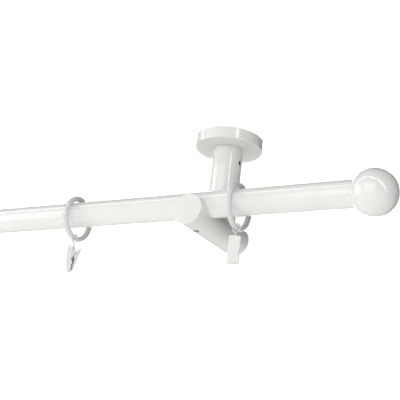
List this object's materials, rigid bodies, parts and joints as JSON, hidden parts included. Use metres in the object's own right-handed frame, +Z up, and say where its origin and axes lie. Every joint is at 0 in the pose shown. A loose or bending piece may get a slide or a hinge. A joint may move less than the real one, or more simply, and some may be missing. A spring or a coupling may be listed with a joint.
{
  "type": "curtain rod with brackets",
  "caption": "Ceiling-mounted round curtain rod with arm brackets, ball finials and sliding clip rings.",
  "frame": {"origin": "on the ceiling plane, midway between the two brackets, on the line through the centres of their stems", "axes": "+X along the rod, +Z up into the ceiling, -Y towards the room"},
  "size_m": [0.8048, 0.0764, 0.1121],
  "materials": {
    "white_coat": "glossy off-white powder coat",
    "ring_white": "glossy off-white powder coat",
    "clip_white": "satin off-white paint",
    "wire_white": "satin off-white paint on steel wire",
    "spring_steel": "bright spring wire",
    "pin_steel": "painted steel rivet",
    "black_screw": "black oxide",
    "zinc_steel": "zinc plated",
    "plug_plastic": "moulded nylon"
  },
  "bodies": {
    "root": {"rod_tube": "white_coat", "finial_ball_left": "white_coat", "finial_plug_left": "plug_plastic", "finial_stud_left": "zinc_steel", "mounting_plate_left": "zinc_steel", "flange_cover_left": "white_coat", "stem_left": "white_coat", "arm_left": "white_coat", "stem_grub_left": "black_screw", "rod_grub_left": "black_screw", "joint_stud_left": "zinc_steel", "finial_ball_right": "white_coat", "finial_plug_right": "plug_plastic", "finial_stud_right": "zinc_steel", "mounting_plate_right": "zinc_steel", "flange_cover_right": "white_coat", "stem_right": "white_coat", "arm_right": "white_coat", "stem_grub_right": "black_screw", "rod_grub_right": "black_screw", "joint_stud_right": "zinc_steel"},
    "ring_1": {"ring_1": "ring_white"},
    "hanger_1": {"hanger_wire_1": "wire_white"},
    "clip_1": {"clip_front_jaw_1": "clip_white", "clip_pin_1": "pin_steel", "clip_spring_1": "spring_steel"},
    "jaw_1": {"clip_back_jaw_1": "clip_white"},
    "ring_2": {"ring_2": "ring_white"},
    "hanger_2": {"hanger_wire_2": "wire_white"},
    "clip_2": {"clip_front_jaw_2": "clip_white", "clip_pin_2": "pin_steel", "clip_spring_2": "spring_steel"},
    "jaw_2": {"clip_back_jaw_2": "clip_white"},
    "ring_3": {"ring_3": "ring_white"},
    "hanger_3": {"hanger_wire_3": "wire_white"},
    "clip_3": {"clip_front_jaw_3": "clip_white", "clip_pin_3": "pin_steel", "clip_spring_3": "spring_steel"},
    "jaw_3": {"clip_back_jaw_3": "clip_white"},
    "ring_4": {"ring_4": "ring_white"},
    "hanger_4": {"hanger_wire_4": "wire_white"},
    "clip_4": {"clip_front_jaw_4": "clip_white", "clip_pin_4": "pin_steel", "clip_spring_4": "spring_steel"},
    "jaw_4": {"clip_back_jaw_4": "clip_white"},
    "ring_5": {"ring_5": "ring_white"},
    "hanger_5": {"hanger_wire_5": "wire_white"},
    "clip_5": {"clip_front_jaw_5": "clip_white", "clip_pin_5": "pin_steel", "clip_spring_5": "spring_steel"},
    "jaw_5": {"clip_back_jaw_5": "clip_white"}
  },
  "joints": [
    {"name": "ring_1_slide", "type": "slide", "parent": "root", "child": "ring_1", "axis": [1, 0, 0], "range_m": [-0.086, 0.017]},
    {"name": "hanger_1_swivel", "type": "hinge", "parent": "ring_1", "child": "hanger_1", "pos_m": [-0.2832, -0.0325, -0.08525], "axis": [0, 0, 1], "range_deg": [-46, 18]},
    {"name": "clip_1_swing", "type": "hinge", "parent": "hanger_1", "child": "clip_1", "pos_m": [-0.2832, -0.0325, -0.0983], "axis": [0.9703, 0.2419, 0], "range_deg": [-8, 12]},
    {"name": "jaw_1_open", "type": "hinge", "parent": "clip_1", "child": "jaw_1", "pos_m": [-0.2832, -0.0325, -0.0983], "axis": [0.9703, 0.2419, 0], "range_deg": [0, 18], "stiffness_Nm_per_rad": 0.01, "springref_deg": -45.84, "deforming": ["clip_spring_1"]},
    {"name": "ring_2_slide", "type": "slide", "parent": "root", "child": "ring_2", "axis": [1, 0, 0], "range_m": [-0.092, 0.063]},
    {"name": "hanger_2_swivel", "type": "hinge", "parent": "ring_2", "child": "hanger_2", "pos_m": [-0.1416, -0.0325, -0.08525], "axis": [0, 0, 1], "range_deg": [-14, 50]},
    {"name": "clip_2_swing", "type": "hinge", "parent": "hanger_2", "child": "clip_2", "pos_m": [-0.1416, -0.0325, -0.0983], "axis": [0.9135, -0.4067, 0], "range_deg": [-8, 12]},
    {"name": "jaw_2_open", "type": "hinge", "parent": "clip_2", "child": "jaw_2", "pos_m": [-0.1416, -0.0325, -0.0983], "axis": [0.9135, -0.4067, 0], "range_deg": [0, 18], "stiffness_Nm_per_rad": 0.01, "springref_deg": -45.84, "deforming": ["clip_spring_2"]},
    {"name": "ring_3_slide", "type": "slide", "parent": "root", "child": "ring_3", "axis": [1, 0, 0], "range_m": [-0.063, 0.063]},
    {"name": "hanger_3_swivel", "type": "hinge", "parent": "ring_3", "child": "hanger_3", "pos_m": [0, -0.0325, -0.08525], "axis": [0, 0, 1], "range_deg": [-38, 26]},
    {"name": "clip_3_swing", "type": "hinge", "parent": "hanger_3", "child": "clip_3", "pos_m": [0, -0.0325, -0.0983], "axis": [0.9945, 0.1045, 0], "range_deg": [-8, 12]},
    {"name": "jaw_3_open", "type": "hinge", "parent": "clip_3", "child": "jaw_3", "pos_m": [0, -0.0325, -0.0983], "axis": [0.9945, 0.1045, 0], "range_deg": [0, 18], "stiffness_Nm_per_rad": 0.01, "springref_deg": -45.84, "deforming": ["clip_spring_3"]},
    {"name": "ring_4_slide", "type": "slide", "parent": "root", "child": "ring_4", "axis": [1, 0, 0], "range_m": [-0.063, 0.092]},
    {"name": "hanger_4_swivel", "type": "hinge", "parent": "ring_4", "child": "hanger_4", "pos_m": [0.1416, -0.0325, -0.08525], "axis": [0, 0, 1], "range_deg": [-5, 59]},
    {"name": "clip_4_swing", "type": "hinge", "parent": "hanger_4", "child": "clip_4", "pos_m": [0.1416, -0.0325, -0.0983], "axis": [0.7986, -0.6018, 0], "range_deg": [-8, 12]},
    {"name": "jaw_4_open", "type": "hinge", "parent": "clip_4", "child": "jaw_4", "pos_m": [0.1416, -0.0325, -0.0983], "axis": [0.7986, -0.6018, 0], "range_deg": [0, 18], "stiffness_Nm_per_rad": 0.01, "springref_deg": -45.84, "deforming": ["clip_spring_4"]},
    {"name": "ring_5_slide", "type": "slide", "parent": "root", "child": "ring_5", "axis": [1, 0, 0], "range_m": [-0.017, 0.086]},
    {"name": "hanger_5_swivel", "type": "hinge", "parent": "ring_5", "child": "hanger_5", "pos_m": [0.2832, -0.0325, -0.08525], "axis": [0, 0, 1], "range_deg": [-20, 44]},
    {"name": "clip_5_swing", "type": "hinge", "parent": "hanger_5", "child": "clip_5", "pos_m": [0.2832, -0.0325, -0.0983], "axis": [0.9272, 0.3746, 0], "range_deg": [-8, 12]},
    {"name": "jaw_5_open", "type": "hinge", "parent": "clip_5", "child": "jaw_5", "pos_m": [0.2832, -0.0325, -0.0983], "axis": [0.9272, 0.3746, 0], "range_deg": [0, 18], "stiffness_Nm_per_rad": 0.01, "springref_deg": -45.84, "deforming": ["clip_spring_5"]}
  ]
}
